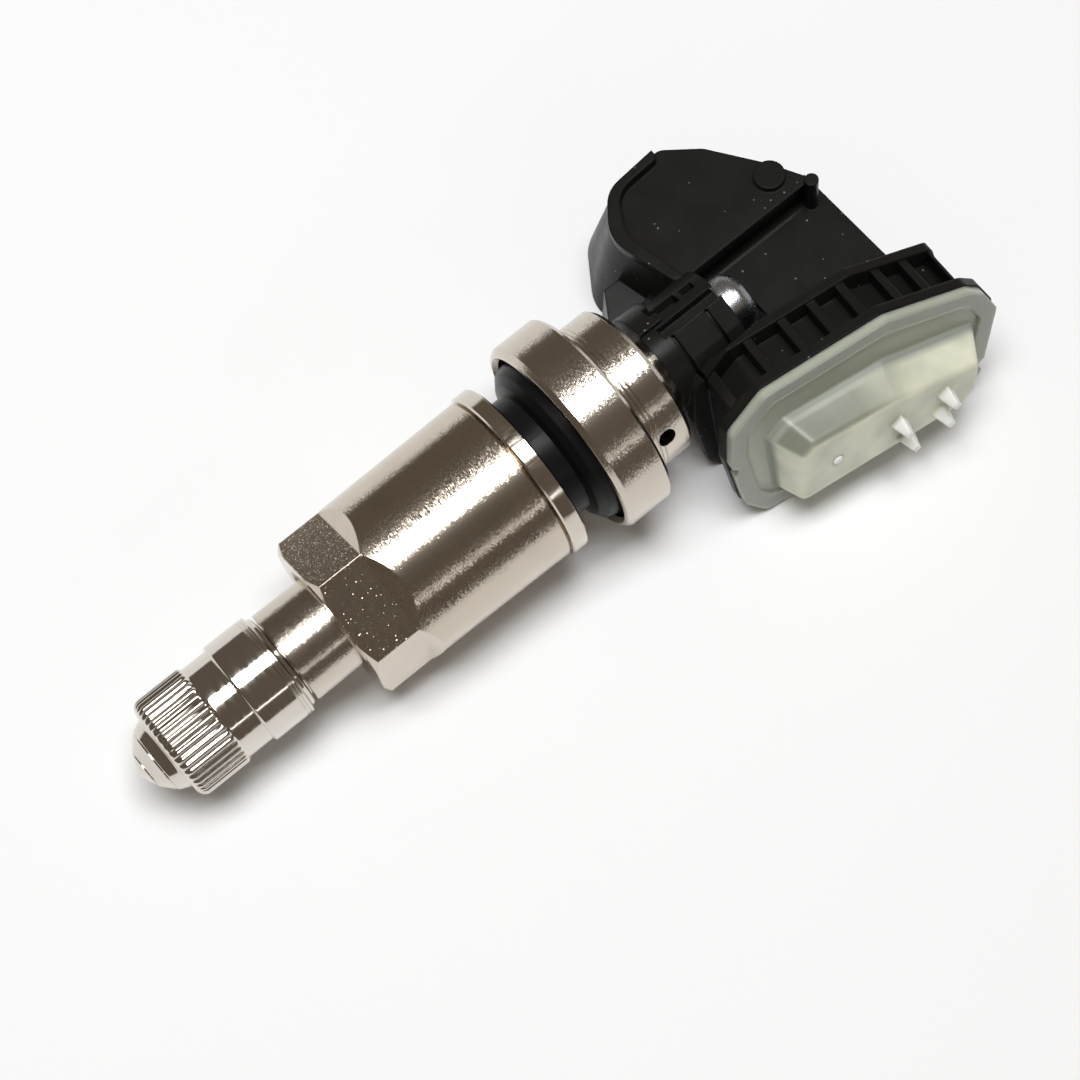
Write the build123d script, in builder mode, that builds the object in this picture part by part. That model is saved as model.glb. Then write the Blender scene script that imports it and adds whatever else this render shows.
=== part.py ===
from build123d import *
import math
import os

# Tyre pressure sensor with a metal clamp-in valve, all sizes in millimetres.
# The valve axis is X, from the cap (minus) to the sensor housing (plus).
# X is zero on the outer face of the rim grommet, where the nut's washer bears.

os.makedirs("parts", exist_ok=True)

# Fits, all radial
RUNNING = 0.08
LOOSE = 0.2

# Valve stem
MOUTH_X = -35.6
MOUTH_R = 3.85
MOUTH_LENGTH = 10.4
MOUTH_THREAD_END = MOUTH_X + MOUTH_LENGTH
UNDERCUT_R = 3.55
UNDERCUT = 0.35
UNDERCUT_END = MOUTH_THREAD_END + UNDERCUT
STEM_R = 4.25
NUT_THREAD_START = -16.2
SHANK_R = 4.5
CUP_FLOOR_X = 6.0
CUP_R = 8.1
COLLAR_WALL = 1.0
COLLAR_R = CUP_R + COLLAR_WALL
COLLAR_FRONT = 3.3
COLLAR_REAR = 7.9
HUB_STEP = 1.1
HUB_R = CUP_R - HUB_STEP
HUB_REAR = 11.9
NECK_R = 2.9
CORE_BORE_R = 2.62
SPRING_BORE_R = 1.9
AIR_BORE_R = 1.2
SPRING_SEAT_X = -21.0
AIR_BORE_END = 11.0
VENT_X = 9.6
VENT_R = 0.8
VENT_TILT = 61.0
SCREW_HOLE_R = 1.7
SCREW_HOLE_END = 13.2
HUB_GROOVES = (8.35, 8.75, 9.15)
HUB_GROOVE = 0.06

# Cap
CAP_GAP = 0.3
CAP_SKIRT = 4.0
CAP_WAIST = 2.3
KNURL_LENGTH = 4.9
CAP_NOSE = 2.6
CAP_REAR = MOUTH_THREAD_END - CAP_GAP
CAP_STEP = CAP_REAR - CAP_SKIRT
KNURL_REAR = CAP_STEP - CAP_WAIST
KNURL_FRONT = KNURL_REAR - KNURL_LENGTH
CAP_TIP = KNURL_FRONT - CAP_NOSE
CAP_R = 4.7
CAP_WAIST_R = 4.4
KNURL_R = 4.65
KNURL_COUNT = 44
KNURL_DEPTH = 0.22
CAP_GASKET = 0.9

# Nut and washer
HEX_ACROSS_FLATS = 13.0
HEX_FRONT = -20.2
HEX_REAR = -15.7
HEX_RUNOUT = 1.6
HEX_TURN = 22.0
NUT_FRONT_R = HEX_ACROSS_FLATS / math.sqrt(3)
NUT_STEP = 0.4
NUT_REAR_R = CUP_R - NUT_STEP
NUT_REAR = -1.5
WASHER_RIM = 0.25
WASHER_R = NUT_REAR_R + WASHER_RIM

# Rim grommet, its neck fills the valve hole of the rim
GROMMET_NECK_R = 5.7
GROMMET_NECK_END = 1.9

# Valve core
CORE_SINK = 0.7
CORE_LENGTH = 5.3
CORE_FLATS = 2.9
CORE_FLATS_LENGTH = 1.4
CORE_GASKET = 1.5
CORE_SEAL = 1.2
CORE_TOP = MOUTH_X + CORE_SINK
CORE_BOTTOM = CORE_TOP + CORE_LENGTH
CORE_GASKET_END = CORE_BOTTOM + CORE_GASKET
SEAL_END = CORE_GASKET_END + CORE_SEAL
CORE_PIN_R = 0.45
PIN_HEAD_R = 0.75
PIN_HEAD_H = 0.6
PIN_TAIL = 2.4
CORE_HOLE_R = 1.0
SPRING_WIRE_R = 0.18
SPRING_R = 1.3
SPRING_TURNS = 5

# Screw that holds the stem in the cradle
SCREW_HEAD_X = 20.5
SCREW_HEAD_R = 2.8
SCREW_HEAD_H = 2.8
CRADLE_WALL = 1.2
NECK_END = SCREW_HEAD_X - CRADLE_WALL
SCREW_R = SCREW_HOLE_R - 0.04

# Sensor housing, in its own plane turned about the valve axis
BODY_ROLL = 17.0
BODY_YAW = -7.0
BODY_X = 13.0
FLOOR_Z = -10.0
DECK_ROLL = 8.0
DECK_TOP = 1.0
LIP_HEIGHT = 1.0
TROUGH_TOP = -2.6
TROUGH = ((15.6, 6.0), (35.3, 6.0), (35.3, -9.3), (15.6, -7.6))
FRAME_BACK = 3.8
FRAME_FRONT = 9.2
FLANGE = 0.9
POCKET = 1.8
WALL = 1.2
RIB = 0.8
RIB_PLACES = (3.2, 6.9, 10.2, 13.0, 15.8, 19.2, 21.9, 24.8)
FRAME_OUTLINE = (
    (1.0, -3.4), (1.5, 0.8), (5.0, 3.8), (16.8, 3.8), (24.9, 0.5),
    (26.3, -0.9), (27.6, -4.0), (25.8, -13.2), (3.6, -13.2), (1.7, -10.2),
)
BACK_OUTLINE = (
    (1.0, -3.4), (1.5, 0.8), (5.0, 3.8), (16.8, 3.8), (24.9, 0.5),
    (25.6, -4.0), (24.4, -13.2), (3.6, -13.2), (1.7, -10.2),
)
RIDGE = 3.85
RIDGE_FILLET = 0.7
DRUM_TOP = (
    (19.2, RIDGE, 0.4), (17.6, 10.4, 3.6), (20.4, 14.0, 3.0), (26.4, 14.5, 1.2),
    (29.3, 12.1, 2.0), (32.4, 7.4, 1.6), (34.2, RIDGE, 0.5),
)
DRUM_FOOT = (
    (17.2, RIDGE, 0.4), (15.3, 9.4, 3.6), (18.9, 14.7, 3.6), (26.8, 16.2, 1.6),
    (30.2, 13.2, 2.2), (33.4, 8.2, 1.8), (35.2, RIDGE, 0.5),
)
LIP_INSIDE = (
    (20.4, 2.0, 0.3), (19.0, 9.9, 3.0), (21.0, 13.3, 2.6), (25.6, 13.6, 0.5),
    (25.8, 18.0, 0.5), (38.0, 12.0, 0.5), (38.0, 2.0, 0.5),
)
KNOB_AT = (31.6, 6.3)
KNOB_R = 1.35
KNOB_TOP = 1.5
TIP_AT = (33.9, 3.6)
TIP_R = 0.6
BARREL_R = 4.3
BARREL_FRONT = 13.1
BARREL_FLAT = BARREL_R - 0.25
BARREL_FLAT_TURN = 106.0
BARREL_GROOVES = (15.1, 18.6)
BARREL_GROOVE = 0.3
EAR_R = BARREL_R + 0.6
EAR_END = 15.4
WEB = ((13.2, 2.0), (13.2, 4.8), (15.6, 8.6), (19.0, 8.6), (19.0, 2.0))
WEB_TOP = -4.0
# Slots along the barrel: middle, length and width, and the angle round the valve axis
BARREL_SLOTS = ((17.7, 6.2, 1.1, 81.0), (16.3, 3.0, 1.3, 54.0), (18.9, 1.3, 0.9, 54.0))
SLOT_FLOOR = BARREL_R - 1.0

# Electronics
CELL_R = 8.0
CELL_H = 3.2
CELL_AT = (24.9, 1.8)
TAB_T = 0.2
TAB_W = 3.0
BOARD_BACK = 5.6
BOARD_T = 0.8
COVER_SPIGOT = 0.9
COVER_FLANGE = 0.9
COVER_BLOCK = 3.0
COVER_RIM = 1.7
COVER_RECESS = 0.4
BLOCK_FOOT = (
    (4.6, -2.6), (6.4, -1.2), (16.0, -1.6), (25.2, -4.4), (25.0, -9.0), (22.8, -11.2), (4.8, -10.8),
)
BLOCK_TOP = (
    (6.2, -3.0), (7.4, -2.0), (15.2, -2.8), (23.4, -5.0), (23.2, -8.4), (21.6, -10.0), (5.6, -9.6),
)
BLOCK_ROUND = 0.7
NUBS = ((15.3, -6.2), (15.9, -9.0), (20.0, -6.3), (19.4, -8.6))
NUB_WIDTH = 1.3
NUB_TAPER = 12.0
NUB_LENGTH = 1.7
PORT_AT = (9.3, -6.4)
PORT_R = 0.5
NOTCHES = ((0.9, -4.6), (26.3, -11.4))
NOTCH_R = 0.8

# Pieces on the board: middle, width, height and thickness
PRESSURE_CHIP = (9.3, -6.4, 5.0, 5.0, 1.3)
RF_CRYSTAL = (15.6, -7.4, 3.2, 2.5, 0.8)
CAPACITOR_A = (15.0, -4.0, 1.6, 0.8, 0.8)
CAPACITOR_B = (17.6, -4.0, 1.6, 0.8, 0.8)
COIL_CORE = (14.0, -1.2, 8.0, 1.6, 1.2)
COIL_WIRE = 0.2
COIL_ENDS = 1.6
ANTENNA = (22.6, -5.6, 0.4, 5.0, 1.4)

roll = math.radians(BODY_ROLL)
yaw = math.radians(BODY_YAW)
body_along = Vector(math.cos(yaw), math.sin(yaw), 0)
body_up = Vector(-math.sin(roll) * math.sin(yaw), math.sin(roll) * math.cos(yaw), math.cos(roll))
BODY = Plane(origin=(BODY_X, 0, 0), x_dir=body_along, z_dir=body_up)
deck_roll = math.radians(DECK_ROLL)
DECK = Plane(
    origin=(0, 0, 0), x_dir=(1, 0, 0), z_dir=(0, math.sin(deck_roll), math.cos(deck_roll))
)


def radial(turn, radius):
    """Plane that touches a cylinder round the valve axis at an angle."""
    angle = math.radians(turn)
    return Plane(
        origin=(0, radius * math.cos(angle), radius * math.sin(angle)),
        x_dir=(1, 0, 0), z_dir=(0, math.cos(angle), math.sin(angle)),
    )


def facing(depth):
    """Plane parallel to the cover's face, at a depth from the valve axis."""
    return Plane(
        origin=BODY.from_local_coords((0, -depth, 0)), x_dir=BODY.x_dir, z_dir=-BODY.y_dir
    )


def across(x):
    """Plane square to the valve axis at a place along it."""
    return Plane(origin=(x, 0, 0), x_dir=(0, 1, 0), z_dir=(1, 0, 0))


def turned(points):
    """Half section of a turned piece, as (along, radius) corners."""
    with BuildSketch(Plane.XZ) as section:
        with BuildLine():
            Polyline(*points, close=True)
        make_face()
    return section.sketch


def panel(plane, points, radius, inset=0.0):
    """Rounded polygon on a plane, moved inward by an inset."""
    with BuildSketch(plane) as shape:
        with BuildLine():
            Polyline(*points, close=True)
        make_face()
        if inset:
            offset(amount=-inset, kind=Kind.INTERSECTION)
        if radius:
            fillet(shape.vertices(), radius)
    return shape.sketch


def rounded(plane, corners):
    """Polygon on a plane, each corner given with its own radius."""
    with BuildSketch(plane) as shape:
        with BuildLine():
            Polyline(*[(x, y) for x, y, radius in corners], close=True)
        make_face()
        for x, y, radius in corners:
            fillet(shape.vertices().sort_by_distance((x, y))[0], radius)
    return shape.sketch


def strip(plane, centre, width, height):
    """Plain rectangle on a plane."""
    with BuildSketch(plane) as shape:
        with Locations(centre):
            Rectangle(width, height)
    return shape.sketch


def disc(plane, centre, radius):
    """Plain circle on a plane."""
    with BuildSketch(plane) as shape:
        with Locations(centre):
            Circle(radius)
    return shape.sketch


# Valve cap: turned nose, straight knurl, waist and plain skirt
cap_bore_r = MOUTH_R + RUNNING
cap_bore_end = MOUTH_X - CAP_GASKET
with BuildPart() as valve_cap:
    revolve(turned((
        (CAP_TIP, 0), (CAP_TIP, 0.7), (CAP_TIP + 0.5, 1.9), (CAP_TIP + 1.7, 3.3),
        (CAP_TIP + 2.1, 3.9), (KNURL_FRONT, KNURL_R), (KNURL_REAR, KNURL_R),
        (KNURL_REAR, CAP_WAIST_R), (CAP_STEP, CAP_WAIST_R), (CAP_STEP, CAP_R - 0.15),
        (CAP_STEP + 0.15, CAP_R), (CAP_REAR - 0.2, CAP_R), (CAP_REAR, CAP_R - 0.2),
        (CAP_REAR, cap_bore_r), (cap_bore_end, cap_bore_r), (cap_bore_end, 0),
    )), axis=Axis.X)
    with BuildSketch(across(KNURL_FRONT - 0.4)) as knurl:
        with PolarLocations(KNURL_R, KNURL_COUNT):
            RegularPolygon(KNURL_DEPTH, 4)
    extrude(amount=KNURL_REAR - KNURL_FRONT + 0.1, mode=Mode.SUBTRACT)
valve_cap.part.label = "valve_cap"
export_step(valve_cap.part, "parts/valve_cap.step")

# Rubber ring in the cap that seals on the stem's mouth
with BuildPart() as cap_gasket:
    revolve(turned((
        (cap_bore_end, 1.6), (cap_bore_end, MOUTH_R - 0.05),
        (MOUTH_X, MOUTH_R - 0.05), (MOUTH_X, 1.6),
    )), axis=Axis.X)
cap_gasket.part.label = "cap_gasket"
export_step(cap_gasket.part, "parts/cap_gasket.step")

# Valve stem: mouth, shank, collar cup, hub with its vent, neck tapped for the screw
hub_line = []
for place in HUB_GROOVES:
    hub_line += [
        (place - HUB_GROOVE, HUB_R), (place, HUB_R - HUB_GROOVE), (place + HUB_GROOVE, HUB_R)
    ]
with BuildPart() as valve_stem:
    revolve(turned((
        (MOUTH_X, CORE_BORE_R), (MOUTH_X, MOUTH_R - 0.35), (MOUTH_X + 0.35, MOUTH_R),
        (MOUTH_THREAD_END, MOUTH_R), (MOUTH_THREAD_END + 0.2, UNDERCUT_R),
        (UNDERCUT_END, UNDERCUT_R), (UNDERCUT_END, STEM_R), (NUT_THREAD_START, STEM_R),
        (NUT_THREAD_START + 0.5, SHANK_R), (CUP_FLOOR_X, SHANK_R), (CUP_FLOOR_X, CUP_R),
        (COLLAR_FRONT + 0.4, CUP_R), (COLLAR_FRONT, CUP_R + 0.35),
        (COLLAR_FRONT + 0.1, COLLAR_R - 0.35), (COLLAR_FRONT + 0.55, COLLAR_R),
        (COLLAR_REAR - 0.3, COLLAR_R), (COLLAR_REAR, COLLAR_R - 0.3),
        (COLLAR_REAR, HUB_R), *hub_line, (HUB_REAR - 0.4, HUB_R),
        (HUB_REAR, HUB_R - 0.4), (HUB_REAR, NECK_R), (NECK_END, NECK_R),
        (NECK_END, SCREW_HOLE_R), (SCREW_HOLE_END, SCREW_HOLE_R),
        (SCREW_HOLE_END - 0.8, 0), (AIR_BORE_END, 0), (AIR_BORE_END, AIR_BORE_R),
        (SPRING_SEAT_X, AIR_BORE_R), (SPRING_SEAT_X, SPRING_BORE_R),
        (CORE_GASKET_END + 0.5, SPRING_BORE_R), (CORE_GASKET_END - 0.3, CORE_BORE_R),
    )), axis=Axis.X)
    vent_out = Vector(
        0, -math.sin(math.radians(VENT_TILT)), math.cos(math.radians(VENT_TILT))
    )
    vent_plane = Plane(origin=(VENT_X, 0, 0), x_dir=(1, 0, 0), z_dir=vent_out)
    extrude(disc(vent_plane, (0, 0), VENT_R), amount=HUB_R + 1, mode=Mode.SUBTRACT)
valve_stem.part.label = "valve_stem"
export_step(valve_stem.part, "parts/valve_stem.step")

# Valve core barrel with two flats for the core tool
with BuildPart() as core_barrel:
    revolve(turned((
        (CORE_TOP, CORE_HOLE_R), (CORE_TOP, CORE_BORE_R - 0.04),
        (CORE_BOTTOM, CORE_BORE_R - 0.04), (CORE_BOTTOM, CORE_HOLE_R),
    )), axis=Axis.X)
    with BuildSketch(across(CORE_TOP)) as flats:
        Rectangle(3 * CORE_BORE_R, 3 * CORE_BORE_R)
        Rectangle(CORE_FLATS, 3 * CORE_BORE_R, mode=Mode.SUBTRACT)
    extrude(amount=CORE_FLATS_LENGTH, mode=Mode.SUBTRACT)
core_barrel.part.label = "core_barrel"
export_step(core_barrel.part, "parts/core_barrel.step")

# Sealing ring under the core barrel
with BuildPart() as core_gasket:
    revolve(turned((
        (CORE_BOTTOM, CORE_HOLE_R), (CORE_BOTTOM, CORE_BORE_R - 0.04),
        (CORE_GASKET_END - 0.5, CORE_BORE_R - 0.04), (CORE_GASKET_END, CORE_BORE_R - 0.5),
        (CORE_GASKET_END, CORE_HOLE_R),
    )), axis=Axis.X)
core_gasket.part.label = "core_gasket"
export_step(core_gasket.part, "parts/core_gasket.step")

# Valve pin that is pressed to let air in or out
pin_top = MOUTH_X + 0.4
with BuildPart() as core_pin:
    revolve(turned((
        (pin_top, 0), (pin_top, PIN_HEAD_R - 0.2), (pin_top + 0.2, PIN_HEAD_R),
        (pin_top + PIN_HEAD_H, PIN_HEAD_R), (pin_top + PIN_HEAD_H + 0.3, CORE_PIN_R),
        (SEAL_END + PIN_TAIL - 0.2, CORE_PIN_R), (SEAL_END + PIN_TAIL, CORE_PIN_R - 0.2),
        (SEAL_END + PIN_TAIL, 0),
    )), axis=Axis.X)
core_pin.part.label = "core_pin"
export_step(core_pin.part, "parts/core_pin.step")

# Seal cup on the pin
with BuildPart() as core_seal:
    revolve(turned((
        (CORE_GASKET_END, CORE_PIN_R), (CORE_GASKET_END, SPRING_BORE_R - LOOSE - 0.2),
        (CORE_GASKET_END + 0.3, SPRING_BORE_R - LOOSE), (SEAL_END, SPRING_BORE_R - LOOSE),
        (SEAL_END, CORE_PIN_R),
    )), axis=Axis.X)
core_seal.part.label = "core_seal"
export_step(core_seal.part, "parts/core_seal.step")

# Coil spring between the seal cup and the shoulder in the stem
spring_start = SEAL_END + SPRING_WIRE_R
spring_length = SPRING_SEAT_X - SEAL_END - 2 * SPRING_WIRE_R
with BuildPart() as core_spring:
    with BuildLine() as coil:
        Helix(
            pitch=spring_length / SPRING_TURNS, height=spring_length, radius=SPRING_R,
            center=(spring_start, 0, 0), direction=(1, 0, 0),
        )
    with BuildSketch(Plane(origin=coil.line @ 0, z_dir=coil.line % 0)):
        RegularPolygon(SPRING_WIRE_R, 8)
    sweep()
core_spring.part.label = "core_spring"
export_step(core_spring.part, "parts/core_spring.step")

# Clamp nut: hexagon milled on the front of a slightly tapered barrel
nut_bore_r = SHANK_R + RUNNING
flat = HEX_ACROSS_FLATS / 2
with BuildPart() as clamp_nut:
    revolve(turned((
        (HEX_FRONT, nut_bore_r + 0.5), (HEX_FRONT, NUT_FRONT_R - 0.75),
        (HEX_FRONT + 0.5, NUT_FRONT_R), (HEX_REAR, NUT_FRONT_R), (NUT_REAR - 0.3, NUT_REAR_R),
        (NUT_REAR, NUT_REAR_R - 0.3), (NUT_REAR, nut_bore_r),
        (HEX_FRONT + 0.5, nut_bore_r),
    )), axis=Axis.X)
    for turn in range(6):
        side = Plane.XZ.rotated((turn * 60 + HEX_TURN, 0, 0))
        with BuildSketch(side.offset(-10)) as mill:
            with BuildLine():
                Polyline(
                    (HEX_FRONT - 1, flat), (HEX_REAR, flat), (HEX_REAR + HEX_RUNOUT, flat + 1.3),
                    (HEX_REAR + HEX_RUNOUT, flat + 3), (HEX_FRONT - 1, flat + 3), close=True,
                )
            make_face()
        extrude(amount=20, mode=Mode.SUBTRACT)
clamp_nut.part.label = "clamp_nut"
export_step(clamp_nut.part, "parts/clamp_nut.step")

# Flat washer under the nut
with BuildPart() as nut_washer:
    revolve(turned((
        (NUT_REAR, SHANK_R + LOOSE), (NUT_REAR, WASHER_R - 0.15), (NUT_REAR + 0.15, WASHER_R),
        (-0.15, WASHER_R), (0, WASHER_R - 0.15), (0, SHANK_R + LOOSE),
    )), axis=Axis.X)
nut_washer.part.label = "nut_washer"
export_step(nut_washer.part, "parts/nut_washer.step")

# Rubber grommet in the collar cup, its neck goes through the rim's hole
with BuildPart() as rim_grommet:
    revolve(turned((
        (0, SHANK_R), (0, GROMMET_NECK_R - 0.3), (0.3, GROMMET_NECK_R),
        (GROMMET_NECK_END, GROMMET_NECK_R), (GROMMET_NECK_END + 0.25, GROMMET_NECK_R + 0.9),
        (GROMMET_NECK_END + 0.8, CUP_R - 0.75), (GROMMET_NECK_END + 1.5, CUP_R - 0.5),
        (COLLAR_FRONT + 0.9, CUP_R - 0.45), (COLLAR_FRONT + 1.3, CUP_R), (CUP_FLOOR_X, CUP_R),
        (CUP_FLOOR_X, SHANK_R),
    )), axis=Axis.X)
rim_grommet.part.label = "rim_grommet"
export_step(rim_grommet.part, "parts/rim_grommet.step")

# Domed screw that pulls the stem's neck into the cradle
screw_end = SCREW_HEAD_X + SCREW_HEAD_H
with BuildPart() as stem_screw:
    revolve(turned((
        (SCREW_HOLE_END + 0.8, 0), (SCREW_HOLE_END + 0.8, SCREW_R - 0.4),
        (SCREW_HOLE_END + 1.2, SCREW_R), (SCREW_HEAD_X, SCREW_R), (SCREW_HEAD_X, SCREW_HEAD_R),
        (screw_end - 1.3, SCREW_HEAD_R), (screw_end - 0.8, SCREW_HEAD_R - 0.2),
        (screw_end - 0.4, SCREW_HEAD_R - 0.55), (screw_end - 0.15, SCREW_HEAD_R - 1.0),
        (screw_end, SCREW_HEAD_R - 1.5), (screw_end, 0),
    )), axis=Axis.X)
    with BuildSketch(across(screw_end)) as star:
        Circle(1.05)
        with PolarLocations(1.05, 6):
            Circle(0.26)
    extrude(amount=-1.2, mode=Mode.SUBTRACT)
stem_screw.part.label = "stem_screw"
export_step(stem_screw.part, "parts/stem_screw.step")

# Sensor housing: ribbed frame, battery drum, screw trough and cradle barrel
cell_floor = FLOOR_Z + WALL
cell_z = cell_floor + TAB_T
cell_top = cell_z + CELL_H
room_top = cell_top + TAB_T + 0.15
with BuildPart() as sensor_housing:
    loft([
        rounded(Plane.XY.offset(FLOOR_Z), DRUM_FOOT).face(),
        rounded(DECK.offset(DECK_TOP), DRUM_TOP).face(),
    ])
    with BuildSketch(DECK.offset(DECK_TOP)) as lip:
        add(rounded(Plane.XY, DRUM_TOP))
        add(rounded(Plane.XY, LIP_INSIDE), mode=Mode.SUBTRACT)
    extrude(amount=LIP_HEIGHT)
    extrude(panel(DECK.offset(TROUGH_TOP), TROUGH, 0), amount=FLOOR_Z - TROUGH_TOP - 2)
    ridge_foot = DECK.from_local_coords((27, RIDGE, TROUGH_TOP))
    fillet(sensor_housing.edges().sort_by_distance(ridge_foot)[0], RIDGE_FILLET)
    extrude(disc(DECK.offset(KNOB_TOP), KNOB_AT, KNOB_R), amount=TROUGH_TOP - KNOB_TOP)
    extrude(disc(DECK.offset(KNOB_TOP), TIP_AT, TIP_R), amount=TROUGH_TOP - KNOB_TOP)
    extrude(panel(Plane.XY.offset(WEB_TOP), WEB, 0), amount=FLOOR_Z - WEB_TOP)
    extrude(panel(facing(FRAME_BACK), FRAME_OUTLINE, 0.8, POCKET), amount=FRAME_FRONT - FRAME_BACK)
    extrude(panel(facing(FRAME_BACK), BACK_OUTLINE, 0.8), amount=FLANGE)
    extrude(panel(facing(FRAME_FRONT), FRAME_OUTLINE, 1.2), amount=-FLANGE)
    for place in RIB_PLACES:
        with BuildSketch(facing(FRAME_BACK)) as rib:
            with BuildLine():
                Polyline(*BACK_OUTLINE, close=True)
            make_face()
            offset(amount=-0.25, kind=Kind.INTERSECTION)
            with Locations((place, -4)):
                Rectangle(RIB, 30, mode=Mode.INTERSECT)
        extrude(amount=FRAME_FRONT - FRAME_BACK)
    extrude(disc(across(BARREL_FRONT), (0, 0), BARREL_R), amount=SCREW_HEAD_X - BARREL_FRONT)
    with BuildSketch(across(BARREL_FRONT)) as ear:
        Circle(EAR_R)
        with Locations((EAR_R + 1.5, 0)):
            Rectangle(2 * EAR_R, 3 * EAR_R, mode=Mode.INTERSECT)
    extrude(amount=EAR_END - BARREL_FRONT)
    flat_middle = (BARREL_GROOVES[0] + SCREW_HEAD_X) / 2
    extrude(
        strip(radial(BARREL_FLAT_TURN, BARREL_FLAT), (flat_middle, 0),
              SCREW_HEAD_X - BARREL_GROOVES[0], BARREL_R),
        amount=2, mode=Mode.SUBTRACT,
    )
    for place in BARREL_GROOVES:
        with BuildSketch(across(place)) as ring:
            Circle(BARREL_R + 1)
            Circle(BARREL_FLAT - BARREL_GROOVE, mode=Mode.SUBTRACT)
            with Locations((0, 1 - BARREL_R)):
                Rectangle(4 * BARREL_R, 2 * BARREL_R, mode=Mode.SUBTRACT)
            with Locations((2 * BARREL_R, 0)):
                Rectangle(4 * BARREL_R, 4 * BARREL_R, mode=Mode.SUBTRACT)
        extrude(amount=BARREL_GROOVE, mode=Mode.SUBTRACT)
    for middle, length, width, turn in BARREL_SLOTS:
        extrude(strip(radial(turn, SLOT_FLOOR), (middle, 0), length, width), amount=3,
                mode=Mode.SUBTRACT)
    extrude(disc(across(BARREL_FRONT), (0, 0), NECK_R + 0.04),
            amount=NECK_END - BARREL_FRONT, mode=Mode.SUBTRACT)
    extrude(disc(across(NECK_END), (0, 0), SCREW_R + LOOSE), amount=3, mode=Mode.SUBTRACT)
    extrude(disc(across(SCREW_HEAD_X), (0, 0), SCREW_HEAD_R + 0.4), amount=SCREW_HEAD_H + 1,
            mode=Mode.SUBTRACT)
    extrude(strip(Plane.XY.offset(FLOOR_Z), (20, 0), 90, 90), amount=-20, mode=Mode.SUBTRACT)
    extrude(disc(Plane.XY.offset(cell_floor), CELL_AT, CELL_R + 0.3),
            amount=room_top - cell_floor, mode=Mode.SUBTRACT)
    extrude(strip(Plane.XY.offset(cell_floor), (CELL_AT[0], CELL_AT[1] - 7), 12, 14),
            amount=room_top - cell_floor, mode=Mode.SUBTRACT)
    extrude(panel(facing(BOARD_BACK), FRAME_OUTLINE, 0.8, POCKET + WALL),
            amount=FRAME_FRONT - BOARD_BACK, mode=Mode.SUBTRACT)
sensor_housing.part.label = "sensor_housing"
export_step(sensor_housing.part, "parts/sensor_housing.step")

# Potting cover: spigot in the frame, flange, raised block with sprue nubs and the pressure port
block_at = FRAME_FRONT + COVER_FLANGE - COVER_RECESS
block_top = FRAME_FRONT + COVER_FLANGE + COVER_BLOCK
with BuildPart() as cover_block:
    loft([
        panel(facing(block_at), BLOCK_FOOT, 0).face(),
        panel(facing(block_top), BLOCK_TOP, 0).face(),
    ])
    base_middle = facing(block_at).from_local_coords((14, -6, 0))
    base_edges = cover_block.faces().sort_by_distance(base_middle)[0].edges()
    fillet([edge for edge in cover_block.edges() if edge not in base_edges], BLOCK_ROUND)
with BuildPart() as potting_cover:
    extrude(panel(facing(FRAME_FRONT), FRAME_OUTLINE, 1.2, 0.15), amount=COVER_FLANGE)
    extrude(panel(facing(block_at), FRAME_OUTLINE, 0.8, COVER_RIM), amount=COVER_RECESS,
            mode=Mode.SUBTRACT)
    extrude(panel(facing(FRAME_FRONT), FRAME_OUTLINE, 0.7, POCKET + WALL + 0.1), amount=-COVER_SPIGOT)
    add(cover_block.part)
    with BuildSketch(facing(block_top)) as nubs:
        with Locations(*NUBS):
            Rectangle(NUB_WIDTH, NUB_WIDTH, rotation=30)
    extrude(amount=NUB_LENGTH, taper=NUB_TAPER)
    extrude(disc(facing(block_top), PORT_AT, PORT_R), amount=-6, mode=Mode.SUBTRACT)
    for at in NOTCHES:
        extrude(disc(facing(FRAME_FRONT), at, NOTCH_R), amount=COVER_FLANGE, mode=Mode.SUBTRACT)
potting_cover.part.label = "potting_cover"
export_step(potting_cover.part, "parts/potting_cover.step")

# Coin cell lying on the housing's floor
with BuildPart() as coin_cell:
    extrude(disc(Plane.XY.offset(cell_z), CELL_AT, CELL_R - 0.6), amount=0.5)
    extrude(disc(Plane.XY.offset(cell_z + 0.5), CELL_AT, CELL_R), amount=CELL_H - 0.5)
coin_cell.part.label = "coin_cell"
export_step(coin_cell.part, "parts/coin_cell.step")

# Circuit board behind the cover
with BuildPart() as circuit_board:
    extrude(panel(facing(BOARD_BACK), FRAME_OUTLINE, 0.6, POCKET + WALL + 0.15), amount=BOARD_T)
circuit_board.part.label = "circuit_board"
export_step(circuit_board.part, "parts/circuit_board.step")

# Battery tabs: flat strips from the cell to the back of the board


def tab(z, x):
    """Flat strip under or over the cell, cut off at the back of the board."""
    with BuildPart() as strip_part:
        extrude(strip(Plane.XY.offset(z), (x, CELL_AT[1] - 6), TAB_W, 16), amount=TAB_T)
        extrude(strip(facing(BOARD_BACK), (15, 0), 60, 60), amount=20, mode=Mode.SUBTRACT)
    return strip_part


battery_tab_negative = tab(cell_floor, CELL_AT[0] - 2.2)
battery_tab_negative.part.label = "battery_tab_negative"
export_step(battery_tab_negative.part, "parts/battery_tab_negative.step")
battery_tab_positive = tab(cell_top, CELL_AT[0] + 2.2)
battery_tab_positive.part.label = "battery_tab_positive"
export_step(battery_tab_positive.part, "parts/battery_tab_positive.step")

# Pieces soldered on the board
board_face = BOARD_BACK + BOARD_T


def chip(name, size):
    """Block soldered on the board: middle along and up, width, height and thickness."""
    middle, up, width, height, thick = size
    with BuildPart() as block:
        extrude(strip(facing(board_face), (middle, up), width, height), amount=thick)
    block.part.label = name
    export_step(block.part, "parts/" + name + ".step")
    return block


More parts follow.
